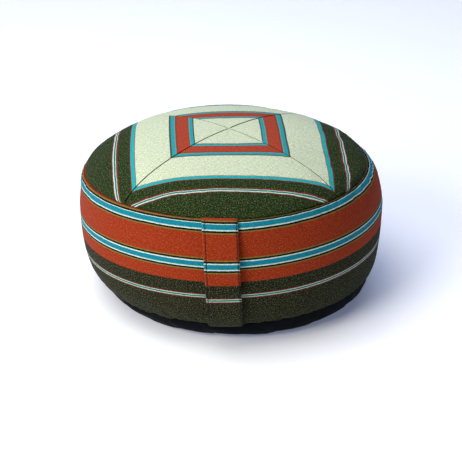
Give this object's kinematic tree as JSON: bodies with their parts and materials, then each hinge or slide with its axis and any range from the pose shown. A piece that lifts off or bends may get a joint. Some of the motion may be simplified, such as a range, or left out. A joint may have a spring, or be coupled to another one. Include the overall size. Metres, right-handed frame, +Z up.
{
  "type": "meditation cushion",
  "caption": "Round filled meditation cushion with a domed top of mitred striped canvas, a striped side band, a plain bottom panel and a carry strap.",
  "frame": {"origin": "on the floor under the middle of the cushion's box, where its flat underside rests", "axes": "+Z up from the floor, -Y towards the front, where the carry strap is, +X to the right seen from the front"},
  "size_m": [0.3298, 0.3382, 0.1793],
  "materials": {
    "filled_band": "striped handwoven cotton canvas, matte",
    "top_quarter_front": "striped handwoven cotton canvas, matte",
    "top_quarter_right": "striped handwoven cotton canvas, matte",
    "top_quarter_back": "striped handwoven cotton canvas, matte",
    "top_quarter_left": "striped handwoven cotton canvas, matte",
    "bottom_panel": "plain navy cotton canvas, matte",
    "carry_strap": "folded and topstitched striped cotton canvas, matte"
  },
  "bodies": {
    "root": {"filled_band": "filled_band", "top_quarter_front": "top_quarter_front", "top_quarter_right": "top_quarter_right", "top_quarter_back": "top_quarter_back", "top_quarter_left": "top_quarter_left", "bottom_panel": "bottom_panel", "carry_strap": "carry_strap"}
  },
  "joints": []
}
